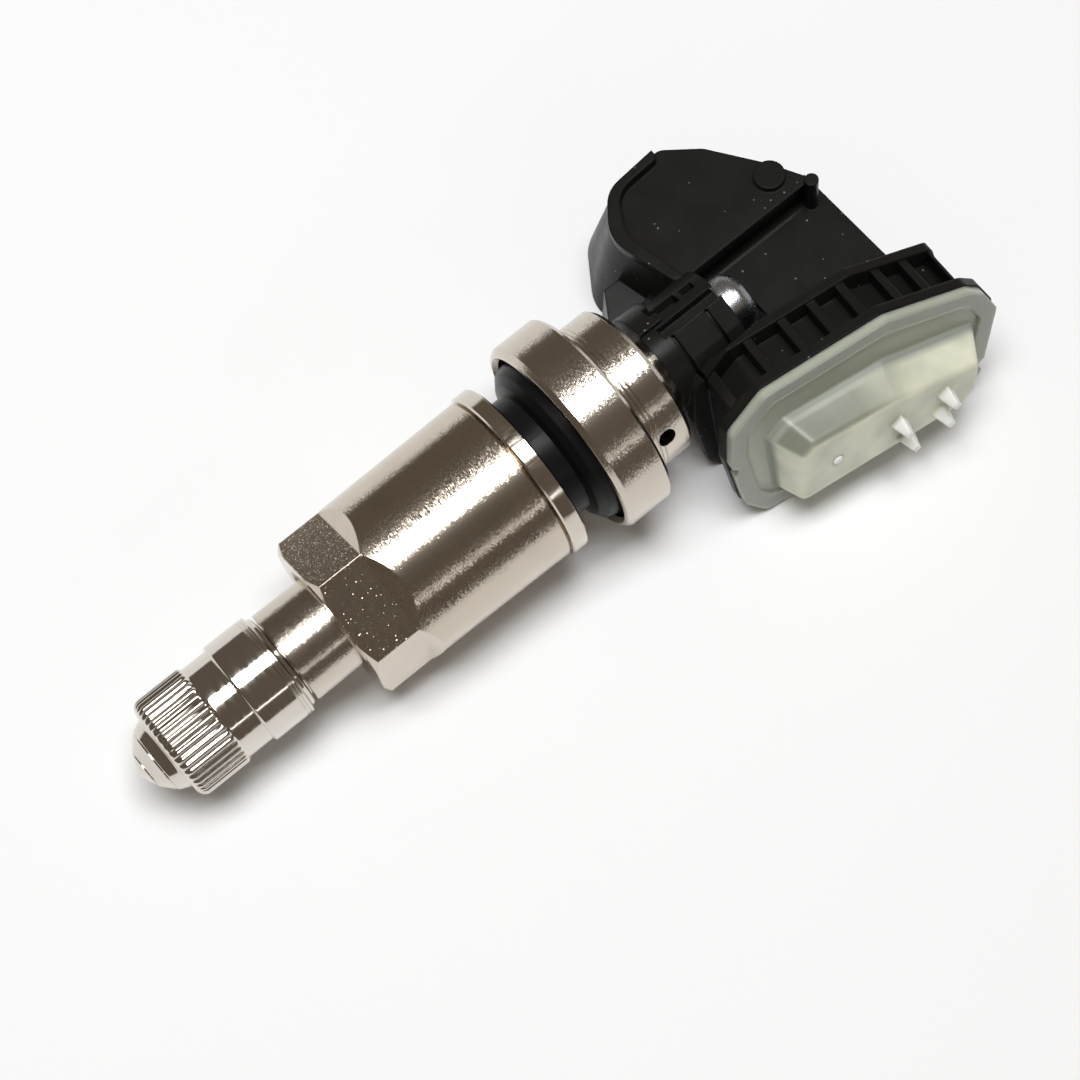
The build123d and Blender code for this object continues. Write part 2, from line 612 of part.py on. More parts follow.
pressure_chip = chip("pressure_chip", PRESSURE_CHIP)
rf_crystal = chip("rf_crystal", RF_CRYSTAL)
chip_capacitor_a = chip("chip_capacitor_a", CAPACITOR_A)
chip_capacitor_b = chip("chip_capacitor_b", CAPACITOR_B)
coil_core = chip("coil_core", COIL_CORE)
antenna_strip = chip("antenna_strip", ANTENNA)

# Wire wound round the ferrite core, open on the side of the board
coil_x, coil_y, coil_length, coil_width, coil_high = COIL_CORE
winding_length = coil_length - 2 * COIL_ENDS
with BuildPart() as coil_winding:
    extrude(
        strip(facing(board_face), (coil_x, coil_y), winding_length, coil_width + 3 * COIL_WIRE),
        amount=coil_high + COIL_WIRE,
    )
    extrude(
        strip(facing(board_face), (coil_x, coil_y), winding_length, coil_width),
        amount=coil_high, mode=Mode.SUBTRACT,
    )
coil_winding.part.label = "coil_winding"
export_step(coil_winding.part, "parts/coil_winding.step")
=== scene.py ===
import math

import bpy
import numpy as np
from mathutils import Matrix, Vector


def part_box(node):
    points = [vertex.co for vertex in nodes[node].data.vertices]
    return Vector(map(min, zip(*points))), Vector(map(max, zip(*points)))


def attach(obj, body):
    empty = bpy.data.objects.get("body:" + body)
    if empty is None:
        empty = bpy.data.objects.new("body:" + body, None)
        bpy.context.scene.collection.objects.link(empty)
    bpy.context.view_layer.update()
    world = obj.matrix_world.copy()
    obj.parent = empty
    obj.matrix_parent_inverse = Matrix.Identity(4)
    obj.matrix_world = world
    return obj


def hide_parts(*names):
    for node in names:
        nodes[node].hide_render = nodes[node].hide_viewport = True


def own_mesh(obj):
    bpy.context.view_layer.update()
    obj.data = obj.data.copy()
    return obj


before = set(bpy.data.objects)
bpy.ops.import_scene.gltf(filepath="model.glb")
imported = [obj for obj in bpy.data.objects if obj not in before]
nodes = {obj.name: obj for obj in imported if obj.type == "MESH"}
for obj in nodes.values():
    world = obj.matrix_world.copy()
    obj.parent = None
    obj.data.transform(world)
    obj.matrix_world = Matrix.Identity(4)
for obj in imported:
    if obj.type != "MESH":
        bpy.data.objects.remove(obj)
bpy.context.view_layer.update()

# Valve stem: one turned bar of nickel-plated metal, with the mouth, the collar cup, the hub and the
# neck cut in one clamping. The plating is satin and shows fine turning lines round the axis. The
# mouth and the shank carry screw threads for the cap and the nut.
VALVE_AXIS = (1.0, 0.0, 0.0)
STEM_METAL = (0.66, 0.60, 0.52)
STEM_ROUGHNESS = (0.12, 0.24)
# Grain: cells of noise per metre along the axis and across it, then how far they lean the normal
STEM_GRAIN = (15000.0, 5200.0, 0.32)
STEM_LINE_DEPTH = 0.000008
LINE_STRENGTH = 0.5
DULL_SHARE = 0.84
PLATED_EDGE = 0.00008
EDGE_SAMPLES = 4
# Range in which most of a noise lies
NOISE_RANGE = (0.3, 0.7)
# Thread: start and end along the axis, then pitch
MOUTH_THREAD = (-0.0357, -0.0252, 0.00079375)
SHANK_THREAD = (-0.0161, 0.0, 0.00075)
THREAD_DEPTH = 0.0007


def worked(tree, operation, *inputs):
    """Math node whose inputs are plain numbers or other nodes' outputs."""
    node = tree.nodes.new("ShaderNodeMath")
    node.operation = operation
    for socket, value in zip(node.inputs, inputs):
        if isinstance(value, (int, float)):
            socket.default_value = value
        else:
            tree.links.new(value, socket)
    return node.outputs[0]


def vector_worked(tree, operation, first, second=None, scale=None):
    """Vector Math node whose inputs are plain vectors or other nodes' outputs."""
    node = tree.nodes.new("ShaderNodeVectorMath")
    node.operation = operation
    for place, value in ((0, first), (1, second), ("Scale", scale)):
        if isinstance(value, tuple):
            node.inputs[place].default_value = value
        elif value is not None:
            tree.links.new(value, node.inputs[place])
    gives_number = operation in ("DOT_PRODUCT", "LENGTH")
    return node.outputs["Value" if gives_number else "Vector"]


def object_place(tree):
    """Place on the piece in metres."""
    return tree.nodes.new("ShaderNodeTexCoord").outputs["Object"]


def axes_of(tree, vector):
    """X, Y and Z of a vector."""
    node = tree.nodes.new("ShaderNodeSeparateXYZ")
    tree.links.new(vector, node.inputs["Vector"])
    return node.outputs


def noise(tree, place, scale, detail):
    """Noise value on a place."""
    node = tree.nodes.new("ShaderNodeTexNoise")
    node.inputs["Scale"].default_value = scale
    node.inputs["Detail"].default_value = detail
    tree.links.new(place, node.inputs["Vector"])
    return node.outputs["Fac"]


def new_group(name, inputs, outputs):
    """Node group with number inputs, number outputs and a normal, with its two ends."""
    group = bpy.data.node_groups.new(name, "ShaderNodeTree")
    for way, names in (("INPUT", inputs), ("OUTPUT", outputs)):
        for socket in names:
            group.interface.new_socket(socket, in_out=way, socket_type="NodeSocketFloat")
    group.interface.new_socket("Normal", in_out="OUTPUT", socket_type="NodeSocketVector")
    source = group.nodes.new("NodeGroupInput").outputs
    sink = group.nodes.new("NodeGroupOutput").inputs
    return group, source, sink


def rounded_normal(tree, radius):
    """Normal that is taken round the edges by a radius."""
    node = tree.nodes.new("ShaderNodeBevel")
    node.samples = EDGE_SAMPLES
    tree.links.new(radius, node.inputs["Radius"])
    return node.outputs["Normal"]


def grain_group():
    """Marks of the lathe: noise squeezed along the valve axis and drawn out round it. The normal, taken
    round the edges by a small radius, leans round the axis by the same noise, so that the edges of
    reflections fray."""
    group, source, sink = new_group(
        "turned_grain", ("Along", "Around", "Lean", "Edge"), ("Lines", "Clouds")
    )
    link = group.links.new
    place = object_place(group)
    stretch = group.nodes.new("ShaderNodeCombineXYZ")
    for axis, socket in (("X", "Along"), ("Y", "Around"), ("Z", "Around")):
        link(source[socket], stretch.inputs[axis])
    stretched = vector_worked(group, "MULTIPLY", place, stretch.outputs["Vector"])
    lines = noise(group, stretched, scale=1.0, detail=2.0)
    edge_normal = rounded_normal(group, source["Edge"])
    round_axis = vector_worked(group, "CROSS_PRODUCT", VALVE_AXIS, edge_normal)
    lean = worked(group, "MULTIPLY", worked(group, "SUBTRACT", lines, 0.5), source["Lean"])
    leaning = vector_worked(group, "SCALE", round_axis, scale=lean)
    normal = vector_worked(group, "ADD", edge_normal, leaning)
    link(lines, sink["Lines"])
    link(noise(group, place, scale=420.0, detail=3.0), sink["Clouds"])
    link(vector_worked(group, "NORMALIZE", normal), sink["Normal"])
    return group


turned_grain = grain_group()


def new_finish(name, colour, metallic=0.0):
    """Material with one Principled shader, its plain values set on its own sockets."""
    finish = bpy.data.materials.new(name)
    finish.use_nodes = True
    shader = finish.node_tree.nodes["Principled BSDF"]
    shader.inputs["Base Color"].default_value = (*colour, 1.0)
    shader.inputs["Metallic"].default_value = metallic
    return finish, shader


def placed(finish, group, **values):
    """Node group placed in a finish with values of its own."""
    node = finish.node_tree.nodes.new("ShaderNodeGroup")
    node.node_tree = group
    for socket, value in values.items():
        node.inputs[socket].default_value = value
    return node


def spread(finish, value, low, high, start=0.0, end=1.0):
    """Node that maps a range of a value to another range."""
    ramp = finish.node_tree.nodes.new("ShaderNodeMapRange")
    ramp.inputs["From Min"].default_value = start
    ramp.inputs["From Max"].default_value = end
    ramp.inputs["To Min"].default_value = low
    ramp.inputs["To Max"].default_value = high
    finish.node_tree.links.new(value, ramp.inputs["Value"])
    return ramp.outputs["Result"]


def blend(finish, mask, low, high):
    """Colour that goes from one colour to another with a mask."""
    mix = finish.node_tree.nodes.new("ShaderNodeMix")
    mix.data_type = "RGBA"
    for socket, colour in (("A", low), ("B", high)):
        if isinstance(colour, tuple):
            mix.inputs[socket].default_value = (*colour, 1.0)
        else:
            finish.node_tree.links.new(colour, mix.inputs[socket])
    finish.node_tree.links.new(mask, mix.inputs["Factor"])
    return mix.outputs["Result"]


def relief(finish, height, normal, depth, strength=1.0):
    """Bump of a given depth in metres over a normal."""
    bump = finish.node_tree.nodes.new("ShaderNodeBump")
    bump.inputs["Distance"].default_value = depth
    bump.inputs["Strength"].default_value = strength
    finish.node_tree.links.new(height, bump.inputs["Height"])
    finish.node_tree.links.new(normal, bump.inputs["Normal"])
    return bump


def turned_nodes(name, colour, roughness, grain, depth, edge=PLATED_EDGE):
    """Plated metal with turning lines: the lines move roughness and normal, soft clouds the colour. The
    nodes of the marks and of the bump come with it, for a metal that changes them."""
    finish, shader = new_finish(name, colour, metallic=1.0)
    link = finish.node_tree.links.new
    along, around, lean = grain
    marks = placed(finish, turned_grain, Along=along, Around=around, Lean=lean, Edge=edge)
    lines = marks.outputs["Lines"]
    link(spread(finish, lines, *roughness, *NOISE_RANGE), shader.inputs["Roughness"])
    dull = tuple(DULL_SHARE * c for c in colour)
    link(blend(finish, marks.outputs["Clouds"], dull, colour), shader.inputs["Base Color"])
    bump = relief(finish, lines, marks.outputs["Normal"], depth, LINE_STRENGTH)
    link(bump.outputs["Normal"], shader.inputs["Normal"])
    return finish, marks, bump


def dress(finish, *names):
    """Puts a finish on CAD nodes."""
    for name in names:
        mesh = nodes[name].data
        mesh.materials.clear()
        mesh.materials.append(finish)


def thread_height(tree, start, end, pitch):
    """Screw thread as a height: a triangle wave of the place along the axis in pitches less the turn
    round the axis in turns, between two places."""
    axes = axes_of(tree, object_place(tree))
    turn = worked(tree, "ARCTAN2", axes["Z"], axes["Y"])
    turns = worked(tree, "DIVIDE", turn, 2 * math.pi)
    pitches = worked(tree, "DIVIDE", axes["X"], pitch)
    wave = worked(tree, "PINGPONG", worked(tree, "SUBTRACT", pitches, turns), 0.5)
    after = worked(tree, "GREATER_THAN", axes["X"], start)
    before = worked(tree, "LESS_THAN", axes["X"], end)
    return worked(tree, "MULTIPLY", wave, worked(tree, "MULTIPLY", after, before))


satin_nickel, stem_marks, stem_bump = turned_nodes(
    "satin_nickel", STEM_METAL, STEM_ROUGHNESS, STEM_GRAIN, STEM_LINE_DEPTH
)
stem_tree = satin_nickel.node_tree
mouth_height = thread_height(stem_tree, *MOUTH_THREAD)
shank_height = thread_height(stem_tree, *SHANK_THREAD)
stem_threads = worked(stem_tree, "ADD", mouth_height, shank_height)
thread_bump = relief(satin_nickel, stem_threads, stem_marks.outputs["Normal"], THREAD_DEPTH)
stem_tree.links.new(thread_bump.outputs["Normal"], stem_bump.inputs["Normal"])
dress(satin_nickel, "valve_stem")

# Valve core: a small brass plug screwed into the mouth, with a red sealing ring, a pin and a rubber
# cup. The cap hides it.
CORE_BRASS = (0.74, 0.56, 0.26)
SEAL_RED = (0.55, 0.08, 0.05)


def turned_metal(name, colour, roughness, grain, depth, edge=PLATED_EDGE):
    """Plated metal with turning lines, as the stem's but with nothing changed in its nodes."""
    return turned_nodes(name, colour, roughness, grain, depth, edge)[0]


def mottled(name, colour, roughness, scale):
    """Finish whose roughness follows a fine noise."""
    finish, shader = new_finish(name, colour)
    tree = finish.node_tree
    grains = noise(tree, object_place(tree), scale, detail=2.0)
    tree.links.new(spread(finish, grains, *roughness), shader.inputs["Roughness"])
    return finish


core_brass = turned_metal(
    "core_brass", CORE_BRASS, roughness=(0.18, 0.32), grain=(7000.0, 300.0, 0.1), depth=0.00001
)
red_seal = mottled("red_seal", SEAL_RED, roughness=(0.35, 0.55), scale=3000.0)
dress(core_brass, "core_barrel", "core_pin")
dress(red_seal, "core_gasket")

# Core spring: a coil of steel wire between the seal cup and a shoulder in the stem. It closes up towards
# the shoulder as the pin is pressed; here a coil of wire stands for the rigid one.
SPRING_METAL = (0.55, 0.55, 0.56)
SPRING_R = 0.0013
SPRING_WIRE_R = 0.00018
SPRING_TURNS = 5
SPRING_STEPS = 160
SPRING_SIDES = 10
spring_low, spring_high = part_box("core_spring")


def coil(start, end):
    """Tube along a helix: the middle line goes evenly along the axis while it turns round it at one radius,
    and the skin stands off it by the wire's radius, round the line's outward and cross directions."""
    turn = np.linspace(0.0, 2.0 * np.pi * SPRING_TURNS, SPRING_STEPS)
    side = np.linspace(0.0, 2.0 * np.pi, SPRING_SIDES, endpoint=False)[None, :, None]
    outward = np.stack([np.zeros_like(turn), np.cos(turn), np.sin(turn)], axis=-1)
    rise = np.full_like(turn, (end - start) / turn[-1])
    ahead = np.stack([rise, -SPRING_R * np.sin(turn), SPRING_R * np.cos(turn)], axis=-1)
    ahead /= np.linalg.norm(ahead, axis=-1, keepdims=True)
    across = np.cross(ahead, outward)
    middle = SPRING_R * outward
    middle[:, 0] = np.linspace(start, end, SPRING_STEPS)
    skin = np.cos(side) * outward[:, None, :] + np.sin(side) * across[:, None, :]
    return (middle[:, None, :] + SPRING_WIRE_R * skin).reshape(-1, 3)


def ring_quads(rings, sides):
    """Faces between each ring of points and the next one, closed round the ring."""
    step = np.arange(sides)
    ahead = (step + 1) % sides
    row = (np.arange(rings - 1) * sides)[:, None]
    quads = np.stack([row + step, row + ahead, row + sides + ahead, row + sides + step], axis=-1)
    return quads.reshape(-1, 4).tolist()


def new_piece(name, points, faces, finish):
    """Smooth mesh of points and faces, in the scene with its finish."""
    mesh = bpy.data.meshes.new(name)
    mesh.from_pydata(points.tolist(), [], faces)
    mesh.shade_smooth()
    mesh.materials.append(finish)
    piece = bpy.data.objects.new(name, mesh)
    bpy.context.scene.collection.objects.link(piece)
    return piece


spring_wire = turned_metal(
    "spring_wire", SPRING_METAL, roughness=(0.2, 0.35), grain=(4000.0, 900.0, 0.1), depth=0.00001
)
coil_points = coil(spring_low[0] + SPRING_WIRE_R, spring_high[0] - SPRING_WIRE_R)
coil_end = np.arange(SPRING_SIDES)
coil_ends = [coil_end[::-1].tolist(), ((SPRING_STEPS - 1) * SPRING_SIDES + coil_end).tolist()]
coil_faces = ring_quads(SPRING_STEPS, SPRING_SIDES) + coil_ends
coil_spring = new_piece("coil_spring", coil_points, coil_faces, spring_wire)
dress(spring_wire, "core_spring")
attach(coil_spring, "sensor")
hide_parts("core_spring")
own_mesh(coil_spring)

# Rim grommet: moulded black rubber pushed over the shank, held in the collar cup. Its skin is a little
# glossy with a faint bloom. The cap's ring and the core's seal cup are of the same rubber.
RUBBER = (0.008, 0.008, 0.0084)
RUBBER_BLOOM = (0.020, 0.020, 0.021)
SPECK_R = 0.10
SPECK_THINNING = 0.57
SKIN_STRENGTH = 0.35
SKIN_SPECULAR = 0.12
MOULDED_EDGE = 0.00015


def dust_group():
    """Sparse bright specks: cells whose middle is closer than a small radius, thinned out by a noise.
    The skin is a fine noise, and the normal is taken round the edges by a small radius."""
    group, source, sink = new_group("dust", ("Cells", "Edge"), ("Specks", "Skin", "Clouds"))
    link = group.links.new
    place = object_place(group)
    cells = group.nodes.new("ShaderNodeTexVoronoi")
    link(place, cells.inputs["Vector"])
    link(source["Cells"], cells.inputs["Scale"])
    near = worked(group, "LESS_THAN", cells.outputs["Distance"], SPECK_R)
    thinning = noise(group, place, scale=310.0, detail=2.0)
    some = worked(group, "GREATER_THAN", thinning, SPECK_THINNING)
    link(worked(group, "MULTIPLY", near, some), sink["Specks"])
    link(noise(group, place, scale=5200.0, detail=3.0), sink["Skin"])
    link(noise(group, place, scale=380.0, detail=3.0), sink["Clouds"])
    link(rounded_normal(group, source["Edge"]), sink["Normal"])
    return group


dust = dust_group()


def moulded(name, colour, speck, roughness, cells, depth, edge=MOULDED_EDGE):
    """Moulded skin: fine noise moves the normal, soft clouds the roughness, sparse specks lighten it."""
    finish, shader = new_finish(name, colour)
    shader.inputs["Specular IOR Level"].default_value = SKIN_SPECULAR
    link = finish.node_tree.links.new
    marks = placed(finish, dust, Cells=cells, Edge=edge).outputs
    link(blend(finish, marks["Specks"], colour, speck), shader.inputs["Base Color"])
    link(spread(finish, marks["Clouds"], *roughness, *NOISE_RANGE), shader.inputs["Roughness"])
    bump = relief(finish, marks["Skin"], marks["Normal"], depth, SKIN_STRENGTH)
    link(bump.outputs["Normal"], shader.inputs["Normal"])
    return finish


black_rubber = moulded(
    "black_rubber", RUBBER, RUBBER_BLOOM, roughness=(0.26, 0.38), cells=1500.0, depth=0.00001
)
dress(black_rubber, "rim_grommet", "cap_gasket", "core_seal")

# Washer: a flat ring stamped from strip and plated with nickel, bright on its edge. It lies loose on
# the shank under the nut, and spares the wheel's rim when the nut turns.
WASHER_METAL = (0.70, 0.645, 0.565)
washer_nickel = turned_metal(
    "washer_nickel", WASHER_METAL, roughness=(0.08, 0.18), grain=(700.0, 4000.0, 0.06), depth=0.000004
)
dress(washer_nickel, "nut_washer")

# Sleeve nut: turned from bar and brushed round its barrel, then milled to a hexagon at its front. The
# milled flats are left grainy and sparkle.
NUT_METAL = (0.64, 0.57, 0.48)
HEX_END = -0.0157
HEX_GRAIN_SCALE = 7600.0
HEX_SPARKLE = 60.0
NUT_LEAN = 0.34
HEX_LEAN = 0.05
brushed_nickel, nut_marks, nut_bump = turned_nodes(
    "brushed_nickel", NUT_METAL, roughness=(0.10, 0.24), grain=(18000.0, 4300.0, NUT_LEAN),
    depth=0.000006, edge=0.00014,
)
nut_tree = brushed_nickel.node_tree
nut_place = object_place(nut_tree)
on_hex = worked(nut_tree, "LESS_THAN", axes_of(nut_tree, nut_place)["X"], HEX_END)
hex_round = vector_worked(nut_tree, "CROSS_PRODUCT", VALVE_AXIS, nut_marks.outputs["Normal"])
# The fifth power of the noise leaves most of a flat still and leans only a few grains
hex_noise = noise(nut_tree, nut_place, HEX_GRAIN_SCALE, detail=0.0)
hex_grain = worked(nut_tree, "SUBTRACT", hex_noise, 0.5)
hex_square = worked(nut_tree, "MULTIPLY", hex_grain, hex_grain)
hex_cube = worked(nut_tree, "MULTIPLY", hex_square, hex_grain)
hex_fifth = worked(nut_tree, "MULTIPLY", hex_cube, hex_square)
hex_strength = worked(nut_tree, "MULTIPLY", on_hex, HEX_SPARKLE)
hex_sparkle = worked(nut_tree, "MULTIPLY", hex_fifth, hex_strength)
hex_lean = vector_worked(nut_tree, "SCALE", hex_round, scale=hex_sparkle)
nut_normal = vector_worked(nut_tree, "ADD", nut_marks.outputs["Normal"], hex_lean)
nut_tree.links.new(vector_worked(nut_tree, "NORMALIZE", nut_normal), nut_bump.inputs["Normal"])
# The turning lines lean the flats far less than the barrel
nut_less = worked(nut_tree, "MULTIPLY", on_hex, NUT_LEAN - HEX_LEAN)
nut_lean = worked(nut_tree, "SUBTRACT", NUT_LEAN, nut_less)
nut_tree.links.new(nut_lean, nut_marks.inputs["Lean"])
dress(brushed_nickel, "clamp_nut")

# Cap: turned from bar, knurled by a roller that leaves round ridges, and plated with polished nickel.
# Its nose steps in from the knurl and comes to a blunt tip in three cones, with a fine groove between
# each two. It stands for the CAD cap, whose nose, knurl and rear are plainer, and keeps its bore.
CAP_METAL = (0.74, 0.70, 0.635)
# Outline from the tip round the outside to the end of the bore: place along the axis, then radius
CAP_NOSE = (
    (-0.03930, 0.0), (-0.03930, 0.00060), (-0.03883, 0.00168), (-0.03876, 0.00165), (-0.03872, 0.00182),
    (-0.03785, 0.00281), (-0.03778, 0.00277), (-0.03772, 0.00294), (-0.03675, 0.00338),
)
CAP_KNURL = (
    (-0.03675, 0.00400), (-0.03650, 0.00440), (-0.03610, 0.00465), (-0.03205, 0.00465),
)
CAP_WAIST = ((-0.03180, 0.00440), (-0.02950, 0.00440))
CAP_SKIRT = (
    (-0.02950, 0.00455), (-0.02935, 0.00470), (-0.02622, 0.00470), (-0.02614, 0.00461),
    (-0.02606, 0.00470), (-0.02594, 0.00470), (-0.02586, 0.00461), (-0.02578, 0.00470),
    (-0.02562, 0.00470), (-0.02550, 0.00456),
)
CAP_LIP = ((-0.02550, 0.00432), (-0.02518, 0.00426), (-0.02508, 0.00414))
CAP_BORE = ((-0.02508, 0.00393), (-0.03650, 0.00393), (-0.03650, 0.0))
# Rings within this radius are the bore and take no furrows
CAP_SKIN_R = 0.00395
CAP_ROUNDING = 0.00016
ROUNDING_SHARE = 0.35
ROUNDING_LEAD = 1.35
ROUNDING_POINTS = 4
KNURL_SPAN = (-0.03665, -0.03185)
KNURL_FADE = 0.0004
KNURL_RIDGES = 44
KNURL_STEPS = 6
KNURL_DEPTH = 0.00024


def rounded(corners, cut):
    """Outline with its inner corners rounded: each is a parabola from a cut before it to a cut after it,
    with one more point on the straight run at each side. A cut is at most a share of the shorter run."""
    middle = corners[1:-1]
    before = corners[:-2] - middle
    after = corners[2:] - middle
    reach_before = np.linalg.norm(before, axis=1)
    reach_after = np.linalg.norm(after, axis=1)
    least = np.minimum(cut, ROUNDING_SHARE * np.minimum(reach_before, reach_after))
    before *= (least / reach_before)[:, None]
    after *= (least / reach_after)[:, None]
    bend = np.linspace(0.0, 1.0, ROUNDING_POINTS)[None, :, None]
    arcs = middle[:, None, :] + (1.0 - bend) ** 2 * before[:, None, :] + bend ** 2 * after[:, None, :]
    lead = (middle + ROUNDING_LEAD * before)[:, None, :]
    trail = (middle + ROUNDING_LEAD * after)[:, None, :]
    return np.concatenate([lead, arcs, trail], axis=1).reshape(-1, 2)


def closed_faces(rings, sides):
    """Faces of rings of points that end in a pole at each side, the two poles being the last points."""
    step = np.arange(sides)
    ahead = (step + 1) % sides
    last = (rings - 1) * sides
    pole = np.full(sides, rings * sides)
    front = np.stack([ahead, step, pole], axis=-1)
    back = np.stack([last + step, last + ahead, pole + 1], axis=-1)
    return ring_quads(rings, sides) + front.tolist() + back.tolist()


cap_outline = np.array(CAP_NOSE + CAP_KNURL + CAP_WAIST + CAP_SKIRT + CAP_LIP + CAP_BORE)
cap_rings = rounded(cap_outline, CAP_ROUNDING)
cap_turns = KNURL_RIDGES * KNURL_STEPS
cap_angle = np.linspace(0.0, 2.0 * np.pi, cap_turns, endpoint=False)
# Each ridge is half a sine wave round the cap, and the furrows run out at both ends of the knurl
ring_x = cap_rings[:, 0]
knurl_run = np.minimum(ring_x - KNURL_SPAN[0], KNURL_SPAN[1] - ring_x) / KNURL_FADE
knurl_share = np.clip(knurl_run, 0.0, 1.0) * (cap_rings[:, 1] > CAP_SKIN_R)
furrow = KNURL_DEPTH * (1.0 - np.abs(np.sin(0.5 * KNURL_RIDGES * cap_angle)))
cap_radius = cap_rings[:, 1, None] - knurl_share[:, None] * furrow[None, :]
cap_along = np.repeat(ring_x[:, None], cap_turns, axis=1)
cap_side = cap_radius * np.cos(cap_angle)
cap_up = cap_radius * np.sin(cap_angle)
cap_skin = np.stack([cap_along, cap_side, cap_up], axis=-1).reshape(-1, 3)
cap_poles = np.array([[cap_outline[0, 0], 0.0, 0.0], [cap_outline[-1, 0], 0.0, 0.0]])
cap_points = np.concatenate([cap_skin, cap_poles])
cap_nickel = turned_metal(
    "cap_nickel", CAP_METAL, roughness=(0.06, 0.14), grain=(2600.0, 300.0, 0.03), depth=0.000004,
    edge=0.00004,
)
knurled_cap = new_piece("knurled_cap", cap_points, closed_faces(len(ring_x), cap_turns), cap_nickel)
dress(cap_nickel, "valve_cap")
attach(knurled_cap, "cap")
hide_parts("valve_cap")

# Screw: zinc-plated steel with a domed head, a little blue. It goes through the wall of the housing's
# cradle into the tapped neck of the stem, and pulls the neck into the cradle.
SCREW_ZINC = (0.66, 0.71, 0.76)
screw_zinc = turned_metal(
    "screw_zinc", SCREW_ZINC, roughness=(0.22, 0.28), grain=(9000.0, 2500.0, 0.0), depth=0.000001,
    edge=0.0009,
)
dress(screw_zinc, "stem_screw")

# Housing: one moulding of black filled plastic with a satin skin: the ribbed frame, the battery drum,
# the screw trough and the cradle round the stem's neck. A little dust lies on it.
PLASTIC = (0.0115, 0.0115, 0.0108)
PLASTIC_DUST = (0.16, 0.16, 0.15)
black_plastic = moulded(
    "black_plastic", PLASTIC, PLASTIC_DUST, roughness=(0.28, 0.38), cells=1100.0, depth=0.000012,
    edge=0.00025,
)
dress(black_plastic, "sensor_housing")

# Potting cover: milky compound poured over the board and set, so that light goes a little way into it.
# A frosted grey-green rim and a sunk face, painted lighter against its shade, go round a creamy raised
# block with whiter broken-off gates; the block's faces that look up carry painted shade.
COVER_RIM = (0.325, 0.35, 0.31)
# Sunk face: partly the compound's greener tone, partly painted light that lifts the shade of its hollow
COVER_SUNK_PAINTED_LIGHT = (0.45, 0.485, 0.40)
COVER_BLOCK = (0.80, 0.81, 0.67)
COVER_BLOCK_DEEP = (0.62, 0.635, 0.53)
# Painted shade for the block's faces that look up, in two clouded tones
COVER_SLOPE_SHADE = (0.31, 0.33, 0.265)
COVER_SLOPE_SHADE_DEEP = (0.27, 0.29, 0.235)
COVER_GATE = (0.82, 0.84, 0.80)
COVER_ROUGHNESS = 0.32
COVER_EDGE = 0.0004
COVER_CLOUD_SCALE = 240.0
COVER_CLOUD_RANGE = (0.36, 0.64)
COVER_GLOW_RADIUS = (1.0, 1.0, 0.8)
COVER_GLOW_SCALE = 0.0012
COVER_ROLL = math.radians(17.0)
COVER_YAW = math.radians(-7.0)
COVER_AXIS = (0.013, 0.0, 0.0)
# Distances of the faces from the valve axis
SUNK_FACE = 0.0097
RIM_FACE = 0.0101
BLOCK_TOP = 0.0131
# Ranges over which one colour goes over into another
RIM_RANGE = (SUNK_FACE + 0.00005, RIM_FACE - 0.00005)
BLOCK_RANGE = (RIM_FACE + 0.00005, RIM_FACE + 0.0007)
GATE_RANGE = (BLOCK_TOP + 0.0001, BLOCK_TOP + 0.0005)
SHADE_SLOPE_RANGE = (0.15, 0.6)
LIGHT_END_RANGE = (0.0125, 0.0180)
along_cover = np.array([math.cos(COVER_YAW), math.sin(COVER_YAW), 0.0])
up_cover = np.array([
    -math.sin(COVER_ROLL) * math.sin(COVER_YAW),
    math.sin(COVER_ROLL) * math.cos(COVER_YAW),
    math.cos(COVER_ROLL),
])
out_cover = np.cross(along_cover, up_cover)


def share_along(tree, vector, direction):
    """How far a vector goes in a direction."""
    return vector_worked(tree, "DOT_PRODUCT", vector, tuple(direction.tolist()))


milky_cover, cover_shader = new_finish("milky_cover", COVER_BLOCK)
cover_tree = milky_cover.node_tree
cover_place = object_place(cover_tree)
cover_from_axis = vector_worked(cover_tree, "SUBTRACT", cover_place, COVER_AXIS)
cover_out = share_along(cover_tree, cover_from_axis, out_cover)
cover_along = share_along(cover_tree, cover_from_axis, along_cover)
cover_normal = placed(milky_cover, dust, Edge=COVER_EDGE).outputs["Normal"]
cover_lift = share_along(cover_tree, cover_normal, up_cover)
on_rim = spread(milky_cover, cover_out, 0.0, 1.0, *RIM_RANGE)
on_block = spread(milky_cover, cover_out, 0.0, 1.0, *BLOCK_RANGE)
on_gate = spread(milky_cover, cover_out, 0.0, 1.0, *GATE_RANGE)
toward_end = spread(milky_cover, cover_along, 0.0, 1.0, *LIGHT_END_RANGE)
# Painted shade: the block's faces that look up are painted darker, standing for the depth seen into the
# compound, and this painted shade gives way to cream toward the cover's far end
looks_up_shaded = spread(milky_cover, cover_lift, 0.0, 1.0, *SHADE_SLOPE_RANGE)
on_shaded_slope = worked(cover_tree, "MULTIPLY", looks_up_shaded, on_block)
cover_clouds = noise(cover_tree, cover_place, COVER_CLOUD_SCALE, detail=2.0)
cover_patch = spread(milky_cover, cover_clouds, 0.0, 1.0, *COVER_CLOUD_RANGE)
cover_cream = blend(milky_cover, cover_patch, COVER_BLOCK_DEEP, COVER_BLOCK)
cover_painted_shade = blend(milky_cover, cover_patch, COVER_SLOPE_SHADE_DEEP, COVER_SLOPE_SHADE)
cover_slope_shade = blend(milky_cover, toward_end, cover_painted_shade, cover_cream)
cover_block = blend(milky_cover, on_shaded_slope, cover_cream, cover_slope_shade)
cover_flange = blend(milky_cover, on_rim, COVER_SUNK_PAINTED_LIGHT, COVER_RIM)
